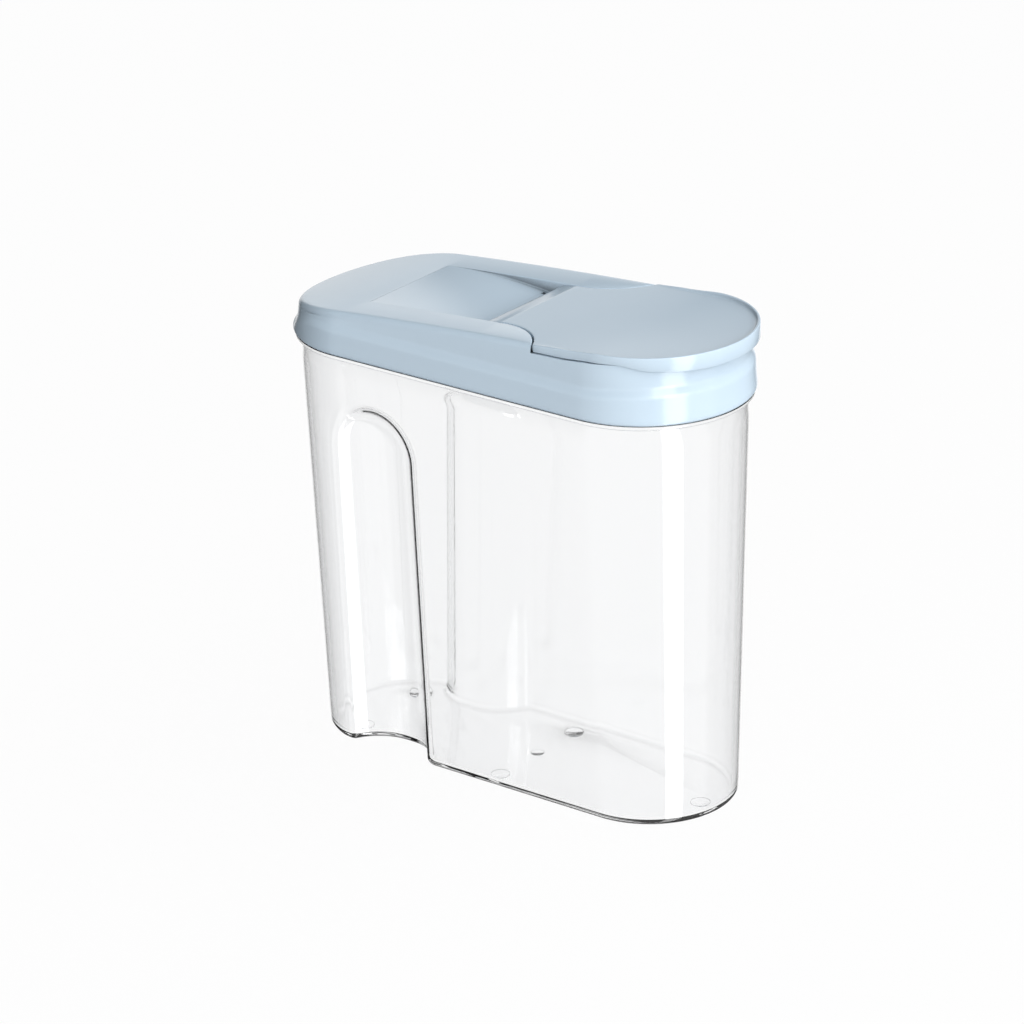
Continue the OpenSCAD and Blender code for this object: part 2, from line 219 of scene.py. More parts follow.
def racetrack(r):
    """Points at distance r from the line between the two centres."""
    return arc(TRACK, 0, r, -90, 90, CAP_STEPS) + arc(-TRACK, 0, r, 90, 270, CAP_STEPS)


def plan_stack(name, plan, rows, ring=False):
    """Stack one plan at the sizes and heights of the rows."""
    return stack(name, [[(x, y, z) for x, y in plan(size)] for size, z in rows], ring)


print("a racetrack has", len(racetrack(40.0)), "points")

# %% [markdown]
# ## The clear tub and its recesses
# The tub is one thin moulding with a grip recess in each side, and its wall leans out by two
# degrees to leave the mould. Clear plastic shows every uneven facet, so the recess isn't cut
# by a Boolean: a function gives the skin's half width at any place, and sheets of points are
# laid on it later. The recess is a hollow arc with a smaller arc as its edge.

# %% Recess profile
LEAN = math.tan(math.radians(2.0))
WALL = 2.2
GRIP_X, GRIP_Z = -47.5, 134.5        # centre of the recess's arch
GRIP_R, GRIP_FLAT, GRIP_EDGE = 19.0, 1.8, 6.0
GRIP_DEPTH, GRIP_DEEPER = 12.1, 0.9  # at the arch, and how much deeper at the base
ZONE = 29.0                          # half width of the wall that the recess may change
BLEND, BLEND_START, BLEND_END = 3.0, 9.0, 6.0


def wall_r(z):
    """Radius of the tub's round ends at a height."""
    return 35.35 + LEAN * z


def grip_section(z):
    """Depth and half width of the recess: a little slimmer at the top, as the mould needs."""
    depth = GRIP_DEPTH + GRIP_DEEPER * (1 - min(z, GRIP_Z) / GRIP_Z)
    fit = (GRIP_R + GRIP_EDGE) ** 2 - (GRIP_EDGE + GRIP_R - depth) ** 2
    return depth, GRIP_FLAT + math.sqrt(fit)


def skin_y(x, z, g):
    """Half width of the skin that lies g inside the outer one."""
    depth, reach = grip_section(z)
    rho = abs(x - GRIP_X) if z <= GRIP_Z else math.hypot(x - GRIP_X, z - GRIP_Z)
    touch = GRIP_FLAT + (reach - GRIP_FLAT) * (GRIP_R + g) / (GRIP_R + GRIP_EDGE)
    if rho <= GRIP_FLAT:
        sink = depth + g
    elif rho < touch:
        sink = math.sqrt((GRIP_R + g) ** 2 - (rho - GRIP_FLAT) ** 2) + depth - GRIP_R
    elif rho < reach:
        sink = GRIP_EDGE - math.sqrt((GRIP_EDGE - g) ** 2 - min(reach - rho, GRIP_EDGE - g) ** 2)
    else:
        sink = g
    hollow = wall_r(z) - sink
    behind = min(x + TRACK, 0.0)
    wall = math.sqrt((wall_r(z) - g) ** 2 - behind ** 2)
    soft = BLEND * smooth(-behind / BLEND_START) * smooth((ZONE - rho) / BLEND_END)
    if soft <= 0 or abs(wall - hollow) >= soft:
        return min(wall, hollow)
    blend = soft - abs(wall - hollow)
    return min(wall, hollow) - blend * blend / (4 * soft)


print("recess depth and half width at the base:", [round(c, 2) for c in grip_section(0)])

# %% [markdown]
# ## Outlines round the tub
# The lines of points run up the recess, fan out over its arch and go on to the rim, so that
# no long thin faces cross the curves. RHO holds distances from the recess's middle and ARCH
# the angles over its arch. Above it the same columns spread out evenly.

# %% Outlines of the tub
STEPS = 36
RHO = [0, 0.9, 1.8, 3.2, 4.6, 6.0, 7.2, 8.2] + [8.2 + (24.4 - 8.2) * i / 27 for i in range(1, 27)]
RHO += [24.4, 26.0, 27.5, ZONE]
ARCH = [math.pi * (1 - i / (2 * STEPS)) for i in range(2 * STEPS + 1)]
LOW_ZONE = [GRIP_X - p for p in reversed(RHO)] + [GRIP_X + p for p in RHO[1:]]
HIGH_ZONE = [GRIP_X + ZONE * (0.35 * math.cos(t) + 0.65 * (1 - 2 * t / math.pi)) for t in ARCH]


def front_strip(z, r):
    """Points from the recess of one side, round the front, to the recess of the other."""
    side = [(GRIP_X + ZONE + (TRACK - GRIP_X - ZONE) * i / 14, -r) for i in range(14)]
    points = side + arc(TRACK, 0, r, -90, 90, 72) + [(x, r) for x, _ in reversed(side)]
    return [(x, y, z) for x, y in points]


def rear_strip(z, r):
    """Points round the rear end, from one recess to the other."""
    start = math.acos((GRIP_X - ZONE + TRACK) / r)
    turn = [start + (2 * math.pi - 2 * start) * i / 60 for i in range(61)]
    return [(-TRACK + r * math.cos(t), r * math.sin(t), z) for t in turn]


def closed_loop(z, r, near):
    """Closed outline from the points beside one recess and their mirror images."""
    far = [(x, -y, z) for x, y, z in reversed(near)]
    return front_strip(z, r)[1:-1] + far + rear_strip(z, r)[1:-1] + near


def low_loop(z, g):
    """Closed outline below the arches."""
    return closed_loop(z, wall_r(z) - g, [(x, -skin_y(x, z, g), z) for x in LOW_ZONE])


def high_loop(r, z):
    """Closed outline above the arches."""
    behind = [min(x + TRACK, 0.0) for x in HIGH_ZONE]
    return closed_loop(z, r, [(x, -math.sqrt(r * r - b ** 2), z) for x, b in zip(HIGH_ZONE, behind)])


print("columns", len(LOW_ZONE), len(HIGH_ZONE), "loop", len(low_loop(20, 0)))

# %% [markdown]
# ## Sheets of points
# A grid is Blender's plain sheet. One is added with as many points as the outlines have, and
# each point is put in its place. Sheets that share an edge have the same points there, so
# joining them and merging points that coincide sews them into one closed skin.


# %% Sheets
def sheet(rows, closed=False):
    """A grid laid on rows of points, in millimetres; a closed one wraps round on itself."""
    if closed:
        rows = [row + row[:1] for row in rows]
    deselect()
    bpy.ops.mesh.primitive_grid_add(x_subdivisions=len(rows[0]) - 1, y_subdivisions=len(rows) - 1,
                                    size=0.1)
    piece = bpy.context.object
    for v, p in zip(piece.data.vertices, [p for row in rows for p in row]):
        v.co = Vector(p) * MM
    return piece


def disc(loop):
    """One flat face inside a closed outline."""
    deselect()
    bpy.ops.mesh.primitive_circle_add(vertices=len(loop), radius=0.1, fill_type="NGON")
    piece = bpy.context.object
    for v, p in zip(piece.data.vertices, loop):
        v.co = Vector(p) * MM
    return piece


def sew(name, sheets):
    """Join the sheets and merge the points that they share."""
    pick(sheets[0])
    for piece in sheets[1:]:
        piece.select_set(True)
    bpy.ops.object.join()
    piece = bpy.context.object
    piece.name = piece.data.name = name
    bpy.ops.object.mode_set(mode="EDIT")
    bpy.ops.mesh.select_all(action="SELECT")
    bpy.ops.mesh.remove_doubles(threshold=0.000002)
    bpy.ops.mesh.select_all(action="SELECT")
    bpy.ops.mesh.normals_make_consistent(inside=False)
    bpy.ops.mesh.select_all(action="DESELECT")
    bpy.ops.mesh.select_non_manifold()
    bpy.ops.object.mode_set(mode="OBJECT")
    open_points = sum(v.select for v in piece.data.vertices)
    print(name, len(piece.data.polygons), "faces, open points:", open_points)
    return piece


def arch_rows(g, side):
    """Sheet over an arch: one row for each distance from its centre."""
    return [[(x, side * skin_y(x, z, g), z) for x, z in
             ((GRIP_X + p * math.cos(t), GRIP_Z + p * math.sin(t)) for t in ARCH)] for p in RHO]


def spandrel_rows(g, side, top, steps):
    """Sheet between the arch's outer line and a level line above it."""
    rows = []
    for i in range(steps + 1):
        k, row = i / steps, []
        for t, high_x in zip(ARCH, HIGH_ZONE):
            x = (GRIP_X + ZONE * math.cos(t)) * (1 - k) + high_x * k
            z = (GRIP_Z + ZONE * math.sin(t)) * (1 - k) + top * k
            row.append((x, side * skin_y(x, z, g), z))
        rows.append(row)
    return rows


print("rows over an arch", len(arch_rows(0.0, 1)), "of", len(ARCH), "points")

# %% [markdown]
# ## The tub's rim
# Under the lid the real rim has a small collar, a bead that the lid snaps over, and a
# rounded lip. One profile of radius and height goes up the outside and down the inside.

# %% Rim profile
BAND_Z, BAND_STEPS = 166.0, 8        # above this height the recess no longer shows
COLLAR_R, COLLAR_EDGE = 43.15, 0.5
LIP_Z, LIP_EDGE = 182.5, 0.5
lip_r, bead = wall_r(LIP_Z), wall_r(179.5)
rim = [(wall_r(BAND_Z), BAND_Z), (wall_r(174.2), 174.2), (wall_r(174.6) + 0.15, 174.6)]
rim += arc(COLLAR_R, 175.3, COLLAR_EDGE, -90, 0, 4) + arc(COLLAR_R, 175.8, COLLAR_EDGE, 0, 90, 4)
rim += [(wall_r(176.4) + 0.3, 176.3), (wall_r(176.6) + 0.05, 176.5)]
rim += [(bead + out, z) for out, z in ((0, 178.8), (0.2, 179.1), (0.35, 179.5), (0.2, 179.9), (0.02, 180.2))]
rim += arc(lip_r - LIP_EDGE, LIP_Z, LIP_EDGE, 0, 90, 4)
rim += arc(lip_r - WALL + LIP_EDGE, LIP_Z, LIP_EDGE, 90, 180, 4)
rim += [(wall_r(z) - WALL, z) for z in (178, 172, BAND_Z)]
print("rim: collar", COLLAR_R + COLLAR_EDGE, "bead", round(bead + 0.35, 2), "lip", round(lip_r, 2))

# %% [markdown]
# ## The tub's skin
# Outside and inside lie a wall apart, each rounded at the base, and the rim joins them.

# %% Tub's skin
LEVELS = [14, 32, 52, 72, 92, 110, 124, GRIP_Z]
OUTER_TURN, INNER_TURN = 3.0, 2.4    # radii of the rounded base edge
base_turns = [math.radians(a) for a in range(-90, 1, 15)]
outside = [low_loop(3.6 + OUTER_TURN * math.sin(a), OUTER_TURN - OUTER_TURN * math.cos(a))
           for a in base_turns]
outside += [low_loop(z, 0.0) for z in LEVELS]
inside = [low_loop(5.0 + INNER_TURN * math.sin(a), WALL + INNER_TURN - INNER_TURN * math.cos(a))
          for a in base_turns]
inside += [low_loop(z, WALL) for z in LEVELS]
sheets = [disc(outside[0]), disc(inside[0]), sheet(outside, True), sheet(inside, True),
          sheet([high_loop(r, z) for r, z in rim], True)]
heights = [GRIP_Z + (BAND_Z - GRIP_Z) * i / BAND_STEPS for i in range(BAND_STEPS + 1)]
for g in (0.0, WALL):
    sheets += [sheet([strip(z, wall_r(z) - g) for z in heights]) for strip in (front_strip, rear_strip)]
    for side in (-1, 1):
        sheets += [sheet(arch_rows(g, side)), sheet(spandrel_rows(g, side, BAND_Z, BAND_STEPS))]
tub = sew("clear_tub", sheets)

# %% [markdown]
# ## Booleans that don't tear
# A Boolean adds one closed mesh to another or cuts it away. The exact solver may tear where
# faces lie in one plane, so solids here overlap by a real amount, and the helper counts the
# edges that don't join two faces and tries again if there are any.


# %% Boolean helper
TRIES = 4
NUDGE = Vector((0.002, -0.001, 0.0015)) * MM


def open_edges(piece):
    """Number of edges that don't join exactly two faces."""
    mesh = bmesh.new()
    mesh.from_mesh(piece.data)
    count = sum(1 for e in mesh.edges if not e.is_manifold)
    mesh.free()
    return count


def boolean(piece, tool, kind="DIFFERENCE"):
    """Apply one Boolean and remove the tool; a torn result is cut again with it moved a hair."""
    start, best = piece.data.copy(), None
    for attempt in range(TRIES):
        pick(piece)
        cut = piece.modifiers.new("cut", "BOOLEAN")
        cut.operation = kind
        cut.solver = "EXACT"
        cut.object = tool
        bpy.ops.object.modifier_apply(modifier="cut")
        torn = open_edges(piece)
        if best is None or torn < best[0]:
            best = (torn, piece.data.copy())
        if torn == 0:
            break
        print("torn by", tool.name, torn, "open edges, attempt", attempt)
        piece.data = start.copy()
        for v in tool.data.vertices:
            v.co += NUDGE
    if best[0]:
        piece.data = best[1]
    bpy.data.objects.remove(tool, do_unlink=True)


print("open edges of the tub", open_edges(tub))

# %% [markdown]
# ## Feet
# The tub stands on five low round pads. A sixth, smaller and less low, marks the gate where
# the plastic flowed in. Pads are simple enough to be added by Booleans.

# %% Feet
FOOT_R, GATE_R, FOOT_EDGE, FOOT_TOP = 4.0, 2.8, 0.25, 1.5
FEET = ((-72.5, -20), (-72.5, 20), (4, -25), (4, 25), (86, 0))


def pad(x, y, radius, low):
    """A low round pad with a rounded lower edge, reaching a little into the floor."""
    turns = [math.tau * i / 40 for i in range(40)]
    rings = [(radius - FOOT_EDGE, low), (radius - 0.08, low + 0.08), (radius, low + FOOT_EDGE),
             (radius, FOOT_TOP)]
    return stack("pad", [[(x + r * math.cos(t), y + r * math.sin(t), z) for t in turns] for r, z in rings])


for x, y in FEET:
    boolean(tub, pad(x, y, FOOT_R, 0.0), "UNION")
boolean(tub, pad(4, 0, GATE_R, 0.3), "UNION")
lowest = min(v.co.z for v in tub.data.vertices)
print("tub with feet", len(tub.data.polygons), "faces, lowest", round(lowest, 5))

# %% [markdown]
# ## The lid's outlines
# The lid is drawn flat and bent to its long curve at the end, which keeps its wall even. In
# section it has a lower band with a lip at its foot, a soft step, and an upper band leaning
# in to a rolled top edge.

# %% Lid section
UPPER_R = 42.4
UPPER_LEAN = math.tan(math.radians(4.5))
LOWER_R = 43.97
STEP_Z, STEP_RISE, STEP_ROWS = 185.6, 5.6, 12
TOP_TURN = 2.3           # radius of the rolled top edge


def upper_r(z):
    """Half width of the flat lid's upper band."""
    return UPPER_R - UPPER_LEAN * (z - 190.0)


def lid_rows():
    """Outside of the flat lid as (r, z), foot to top."""
    rows = arc(43.2, 177.8, 1.2, -90, 0, 6)
    rows += [(44.36, 179.3), (44.16, 181.2), (44.05, 183.5)]
    for i in range(STEP_ROWS + 1):
        z = STEP_Z + STEP_RISE * i / STEP_ROWS
        rows.append((LOWER_R + (upper_r(191.2) - LOWER_R) * smooth((z - STEP_Z) / STEP_RISE), z))
    rows += [(upper_r(z), z) for z in (193, 195.5, 197.2)]
    return rows + arc(upper_r(TOP - TOP_TURN) - TOP_TURN, TOP - TOP_TURN, TOP_TURN, 4, 86, 9)


print("rows up the outside of the lid:", len(lid_rows()))

# %% [markdown]
# ## Plans that the lid and the flap share
# The lid's pocket and the flap that fills it follow one plan, and so do the pour opening,
# the seal and its ribs. A grow value moves the outline out, so that a gap or a wall is even.


# %% Shared plans
SPOUT_X, SPOUT_R = 63.0, 30.0
SPOUT_REAR = 47.0
SPOUT_CORNER = 8.0


def tail_outline(grow, rear):
    """Plan of the flap behind its nose: a straight tail, then two curved shoulders."""
    side = [(rear, TAIL_HALF + grow - 0.02)]
    side += arc(SHOULDER_X, TAIL_HALF + SHOULDER_R, SHOULDER_R - grow, -90, 0, 24)
    side += [(side[-1][0], 70.0), (140.0, 70.0)]
    return [(x, -y) for x, y in side] + [(x, y) for x, y in reversed(side)]


def spout_outline(grow):
    """Plan of the pour opening: a round front and a straight rear with rounded corners."""
    half, corner = SPOUT_R + grow, SPOUT_CORNER + grow
    rear = SPOUT_REAR - grow + corner
    side = arc(SPOUT_X, 0, half, 0, 90, 32) + arc(rear, half - corner, corner, 90, 180, 12)
    return side + [(x, -y) for x, y in reversed(side[1:])]


print("pour opening", 2 * SPOUT_R, "mm wide,", SPOUT_X + SPOUT_R - SPOUT_REAR, "mm long")

# %% [markdown]
# ## The press recess
# Behind the hinge the real lid has a recess for a finger. Its floor falls away on a curve,
# from nothing to below the hinge, so it is stacked from cross-sections along the lid.

# %% Recess sections
RECESS_X = 58.0          # the floor starts this far behind the middle
RECESS_RUN = 61.6
RECESS_DEPTH = HINGE_DEPTH + 3.3


def recess_floor(x):
    """Depth of the recess floor under the top."""
    return RECESS_DEPTH * ((x + RECESS_X) / RECESS_RUN) ** 2


def slab_between(name, sections):
    """Stack of cross-sections along the length: each is (x, half width, low, high)."""
    return stack(name, [[(x, -w, lo), (x, w, lo), (x, w, hi), (x, -w, hi)] for x, w, lo, hi in sections])


def recess_section(x):
    """The recess's cross-section: flat floor, small fillet, upright wall, rounded top edge."""
    depth = max(0.03, recess_floor(x))
    size = min(1.0, depth / 1.4)
    half = TAIL_HALF + FLAP_GAP
    fillet, lip = 0.7 * size, 0.55 * size
    side = [(half - fillet + fillet * math.sin(math.radians(a)),
             TOP - depth + fillet - fillet * math.cos(math.radians(a))) for a in (0, 30, 60, 90)]
    side += [(half + lip - lip * math.cos(math.radians(a)), TOP - lip + lip * math.sin(math.radians(a)))
             for a in (0, 25, 50, 75, 90)]
    side.append((half + lip + 0.01, TOP + 5))
    return [(x, y, z) for y, z in side] + [(x, -y, z) for y, z in reversed(side)]


print("recess depth at -40, -20, 0:", [round(recess_floor(x), 2) for x in (-40, -20, 0)])

# %% [markdown]
# ## The lid's shell
# The shell starts as a solid block. A second stack, the space inside, is cut from it: the
# skirt's inside, the shelf for the seal, the plug wall in the tub's mouth, and the room
# under the deck.

# %% Lid's shell
SHELF_Z, DECK_Z = 185.1, 186.7
SKIRT_R, PLUG_R = 42.28, 38.8
lid = plan_stack("lid_moulding", racetrack, lid_rows() + [(upper_r(TOP) - 2.9, TOP)])
inner = upper_r(TOP) - LID_WALL
cavity_rows = [(SKIRT_R, 170.0), (SKIRT_R, SHELF_Z - 0.6), (SKIRT_R - 0.6, SHELF_Z), (PLUG_R, SHELF_Z),
               (PLUG_R, 177.6), (PLUG_R - 0.5, 177.0), (PLUG_R - 1.0, 177.0), (PLUG_R - 1.4, 177.5),
               (PLUG_R - 1.5, DECK_Z), (inner + 0.9, DECK_Z), (inner, TOP - LID_WALL - 2.5),
               (inner - 0.9, TOP - LID_WALL - 0.5), (inner - 2.6, TOP - LID_WALL)]
cavity = plan_stack("cavity", racetrack, cavity_rows)
rear_block = slab_between("rear_block", [(-120, 60, DECK_Z - 0.02, 220), (-97, 60, DECK_Z - 0.02, 220)])
boolean(cavity, rear_block)
boolean(lid, cavity)
print("lid shell", len(lid.data.polygons))

# %% [markdown]
# ## Walls that hang inside the lid
# The press recess and the pocket have walls of their own, which hang from the top: solid
# blocks, hollowed in the next step. The two bosses carry the hinge.

# %% Inner walls
recess_shell = slab_between("recess_shell", [
    (x, TAIL_HALF + FLAP_GAP + LID_WALL, TOP - max(0.05, recess_floor(x)) - LID_WALL, TOP - 0.8)
    for x in [-56 + 4 * i for i in range(17)] + [12.6]])
boolean(lid, recess_shell, "UNION")
pocket_shell = plan_stack("pocket_shell", lambda wall: tail_outline(FLAP_GAP + wall, 9.4),
                          [(LID_WALL, SHELF_Z + 0.1), (LID_WALL, TOP - 1.0)])
limit = plan_stack("limit", racetrack, [(41.15, 150), (41.15, 250)])
boolean(pocket_shell, limit, "INTERSECT")
boolean(lid, pocket_shell, "UNION")
BOSS_LOW, BOSS_HIGH = TOP - 7.9, TOP - 0.9
for side in (-1, 1):
    boss = stack("boss", [[(-1.0, y, BOSS_LOW), (8.2, y, BOSS_LOW), (8.2, y, BOSS_HIGH), (-1.0, y, BOSS_HIGH)]
                          for y in sorted((side * 25.0, side * 30.3))])
    boolean(lid, boss, "UNION")
print("lid with its inner walls", len(lid.data.polygons))

# %% [markdown]
# ## The pocket under the flap
# The flap's skirt comes down over the lid's front wall, so the wall ends a little under the
# skirt's wavy lower edge. The pocket's cutter is therefore cut itself first: the part of the
# wall that stays, and a low collar round the front, are taken out of it.

# %% Cuts under the flap
SKIRT_MARKS = [(26, 2.6), (39, 3.0), (52, 3.15), (67, 2.5), (78, 2.2), (91, 4.4), (105, 5.4), (150, 5.6)]


def skirt_drop(x):
    """How far the flap's skirt reaches below the top, along its length."""
    return eased(x, SKIRT_MARKS)


boolean(lid, stack("recess", [recess_section(x) for x in [-57 + 3 * i for i in range(23)] + [11.8]]))
pocket = plan_stack("pocket", lambda flare: tail_outline(FLAP_GAP + flare, 11.0), [
    (0, DECK_Z), (0, TOP - 0.55), (0.07, TOP - 0.3), (0.25, TOP - 0.1), (0.55, TOP), (0.56, TOP + 5)])
wall_kept = slab_between("wall_kept", [(x, 80, 180, TOP - skirt_drop(x) - 0.4)
                                       for x in [5] + [26 + 3 * i for i in range(28)] + [150]])
boolean(wall_kept, plan_stack("inside_wall", racetrack, [(39.2, 150), (39.2, 250)]))
boolean(pocket, wall_kept)
collar = plan_stack("collar", racetrack, [
    (39.9, 180), (39.9, TOP - 2.5), (39.6, TOP - 2.2), (38.9, TOP - 2.2), (38.6, TOP - 2.5), (38.6, 180)],
    ring=True)
boolean(pocket, collar)
boolean(lid, pocket)
print("lid with its pocket", len(lid.data.polygons))

# %% [markdown]
# ## Spout and hinge bores
# The pour opening has a low wall of its own, on which the flap's seal closes. The hinge has
# two round bores, a little wider than the pins, and two slots let the mould form them.

# %% Spout, bores and slots
BORE_R, PIN_R = 1.68, 1.6
spout_wall = plan_stack("spout_wall", spout_outline, [
    (2.0, DECK_Z - 0.5), (2.0, TOP - 4.5), (1.7, TOP - 4.2), (0.0, TOP - 4.2)])
boolean(lid, spout_wall, "UNION")
boolean(lid, plan_stack("mouth", spout_outline, [
    (0.0, 170.0), (0.0, TOP - 4.6), (0.8, TOP - 3.8), (0.9, TOP + 5)]))


def rod(name, radius, low_y, high_y):
    """Round bar on the hinge's axis."""
    turns = [2 * math.pi * i / 40 for i in range(40)]
    ring = [(HINGE_X + radius * math.cos(t), TOP - HINGE_DEPTH + radius * math.sin(t)) for t in turns]
    return stack(name, [[(x, y, z) for x, z in ring] for y in (low_y, high_y)])


boolean(lid, rod("bore", BORE_R, -28.3, 28.3))
for y in (-22.7, 22.7):
    corners = [(y - 1, TOP - 12), (y + 1, TOP - 12), (y + 1, TOP - 1), (y - 1, TOP - 1)]
    boolean(lid, stack("slot", [[(x, *corner) for corner in corners] for x in (-6.5, -0.5)]))
print("lid cut", len(lid.data.polygons))

# %% [markdown]
# ## Bending the lid to its long curve
# The flat lid is sliced across every few millimetres, so that its long faces can bend, and
# every point moves up or down with the curve of the top. The foot, the shelf and the deck
# stay level, and the ledge of the lower band dips round the rear end.

# %% Slicing and draping
LEDGE_Z, LEDGE_LOWEST = 188.8, 180.5
DIP_X, DIP_R = -70.0, 42.0       # the ledge dips behind this place, on this radius
SLICES = [-104 + 2 * i for i in range(20)] + [-64 + 4 * i for i in range(43)]


def slice_across(piece, places):
    """Cut every face where it crosses one of these places along the lid."""
    pick(piece)
    bpy.ops.object.mode_set(mode="EDIT")
    for x in places:
        bpy.ops.mesh.select_all(action="SELECT")
        bpy.ops.mesh.bisect(plane_co=(x * MM, 0, 0), plane_no=(1, 0, 0))
    bpy.ops.object.mode_set(mode="OBJECT")


def ledge_z(x):
    """Height of the lower band's ledge: level, dipping on an arc at the rear end."""
    behind = DIP_X - x
    dip = DIP_R - math.sqrt(DIP_R ** 2 - min(behind, DIP_R - 0.1) ** 2) if behind > 0 else 0.0
    rise = 2.2 * smooth((x - 62.0) / 34.0)
    return max(LEDGE_Z - dip, LEDGE_LOWEST) + rise


def drape(x, y, z):
    """New height of a point of the flat lid."""
    r = math.hypot(max(abs(x) - TRACK, 0.0), y)
    shift = top_z(x) - TOP
    if r > 40.6:
        high = TOP - (2.5 if x < 12 else 7.0)
        ledge = ledge_z(x)
        marks = [(177.8, 177.8), (187.0, ledge - 1.8), (190.6, ledge + 1.8), (high, high + shift)]
    else:
        depth = recess_floor(x) if -RECESS_X < x < 12 else 0.0
        high = TOP - (max(4.0, depth + 4.0) if x < 12 else 7.0)
        marks = [(DECK_Z, DECK_Z), (high, high + shift)]
    if z <= marks[0][0]:
        return z
    for (z0, n0), (z1, n1) in zip(marks, marks[1:]):
        if z <= z1:
            return n0 + (max(n1, n0 + 0.05) - n0) * (z - z0) / (z1 - z0)
    return z + shift


def bend(piece, how):
    """Give every point the height that how(x, y, z) says, in millimetres."""
    for v in piece.data.vertices:
        x, y, z = (c / MM for c in v.co)
        v.co.z = how(x, y, z) * MM
    piece.data.update()


slice_across(lid, SLICES)
bend(lid, drape)
print("lid bent", len(lid.data.polygons))

# %% [markdown]
# ## The flap
# The flap has a straight tail with the hinge barrel, two curved shoulders and a round nose
# with a raised rim to lift it by. It is one stack, from the underside round the skirt to the
# top. Each point of its outline also says whether the skirt hangs there.

# %% Flap outline
FLAP_R = 41.45
NOSE = 5.4
CORNER_ROOM = 0.9


def flap_outline(inset, rear=10.0):
    """Plan of the flap moved in by inset: tail, shoulder, small corner, side and nose."""
    half, radius = TAIL_HALF - inset, SHOULDER_R + inset
    centre_y = TAIL_HALF + SHOULDER_R
    side_y = FLAP_R - inset
    meet_x = SHOULDER_X + math.sqrt(radius ** 2 - (centre_y - side_y) ** 2)
    meet = math.degrees(math.atan2(side_y - centre_y, meet_x - SHOULDER_X))
    stop = meet - math.degrees(CORNER_ROOM / radius)
    points = [(rear, half, False), (SHOULDER_X - 0.5, half, False)]
    points += [(*p, False) for p in arc(SHOULDER_X, centre_y, radius, -90, stop, 24)]
    a, b, c = points[-1][:2], (meet_x, side_y), (meet_x + CORNER_ROOM, side_y)
    for t in (0.3, 0.7, 1.0):
        points.append(tuple(a[k] * (1 - t) ** 2 + 2 * b[k] * t * (1 - t) + c[k] * t * t
                            for k in (0, 1)) + (t > 0.5,))
    points += [(x, side_y, True) for x in (42, 45, 48, 51, 54, 57, 60, 63)]
    points += [(*p, True) for p in arc(TRACK + NOSE, 0, side_y, 90, 0, 48)]
    return points + [(x, -y, skirted) for x, y, skirted in reversed(points[:-1])]


print("flap outline", len(flap_outline(0.0)), "points")

# %% [markdown]
# ## Plate, skirt and rim
# Each row is the outline moved in by an inset, at the underside of the plate, along the
# skirt's lower edge, or on top, where the rim rises towards the nose.


# %% Flap plate, skirt and rim
RIM_MARKS = [(37, 0.0), (52, 0.5), (71, 1.4), (97, 1.2), (110, 1.25)]


def flap_row(inset, base, lift=0.0, rise=0.0):
    """base is 'plate', 'skirt' or 'top'; lift is added to it and rise scales the nose rim."""
    row = []
    for x, y, skirted in flap_outline(inset, 10.0 + 0.4 * inset):
        if base == "skirt" and skirted:
            z = TOP - skirt_drop(x) + lift
        elif base == "top":
            z = TOP + lift + rise * eased(x, RIM_MARKS) * (1 if skirted else 0)
        else:
            z = TOP - LID_WALL + (lift * 0.2 if base == "skirt" else lift)
        row.append((x, y, z))
    return row


flap_rows = [flap_row(2.6, "plate"), flap_row(1.9, "plate"), flap_row(1.3, "plate", -0.1),
             flap_row(1.2, "skirt", 0.3), flap_row(0.95, "skirt"), flap_row(0.35, "skirt"),
             flap_row(0.1, "skirt", 0.12), flap_row(0.0, "skirt", 0.35),
             flap_row(0.0, "top", -0.5, 1.0)]
flap_rows += [flap_row(inset, "top", lift, rise) for inset, lift, rise in (
    (0.06, -0.22, 1.0), (0.22, -0.05, 1.0), (0.5, 0.0, 1.0), (0.85, 0.0, 1.0), (1.1, 0.0, 0.9),
    (1.35, 0.0, 0.6), (1.65, 0.0, 0.25), (2.1, 0.0, 0.06), (3.0, 0.0, 0.0))]
flap = stack("flap_moulding", flap_rows)
print("flap plate", len(flap_rows), "rows,", len(flap.data.polygons), "faces")

# %% [markdown]
# ## Tail, barrel and pins
# The tail is drawn in section, with the round barrel on the hinge's axis, and stacked across
# the lid. It ends in two round pins.

# %% Tail, barrel and pins
BARREL_R = 2.6
tail = [(15.0, TOP - 0.5), (12.0, TOP - 0.2), (10.8, TOP - 0.03), (9.9, TOP - 0.03),
        (9.2, TOP - 0.08), (8.4, TOP - 0.2)]
tail += arc(HINGE_X, TOP - HINGE_DEPTH, BARREL_R, 112, 301, 21)
tail += [(7.5, TOP - 3.6), (11.0, TOP - 1.9), (12.6, TOP - 1.45), (15.0, TOP - 1.3)]
middle = (sum(p[0] for p in tail) / len(tail), sum(p[1] for p in tail) / len(tail))


def tail_end(y, inset):
    """The section at y, drawn in a little so that the block's edges are rounded."""
    pull = 1 - inset / 4.0
    return [(middle[0] + (x - middle[0]) * pull if x < 10 else x, y,
             middle[1] + (z - middle[1]) * pull if x < 10 else z - (inset if z > TOP - 1 else 0))
            for x, z in tail]


tail_side, tail_edge = TAIL_HALF - 0.03, 0.35
tail_block = stack("tail_block", [
    tail_end(-tail_side, tail_edge), tail_end(-tail_side + tail_edge, 0.0),
    tail_end(tail_side - tail_edge, 0.0), tail_end(tail_side, tail_edge)])
boolean(flap, tail_block, "UNION")
for side in (-1, 1):
    boolean(flap, rod("pin", PIN_R, *sorted((side * 23.7, side * 27.9))), "UNION")
print("flap", len(flap.data.polygons))

# %% [markdown]
# ## The flap's seal
# A silicone ring under the flap closes on the spout's wall. Two ribs of the flap hold it,
# one inside it and one outside. Flap and seal are then bent like the lid.

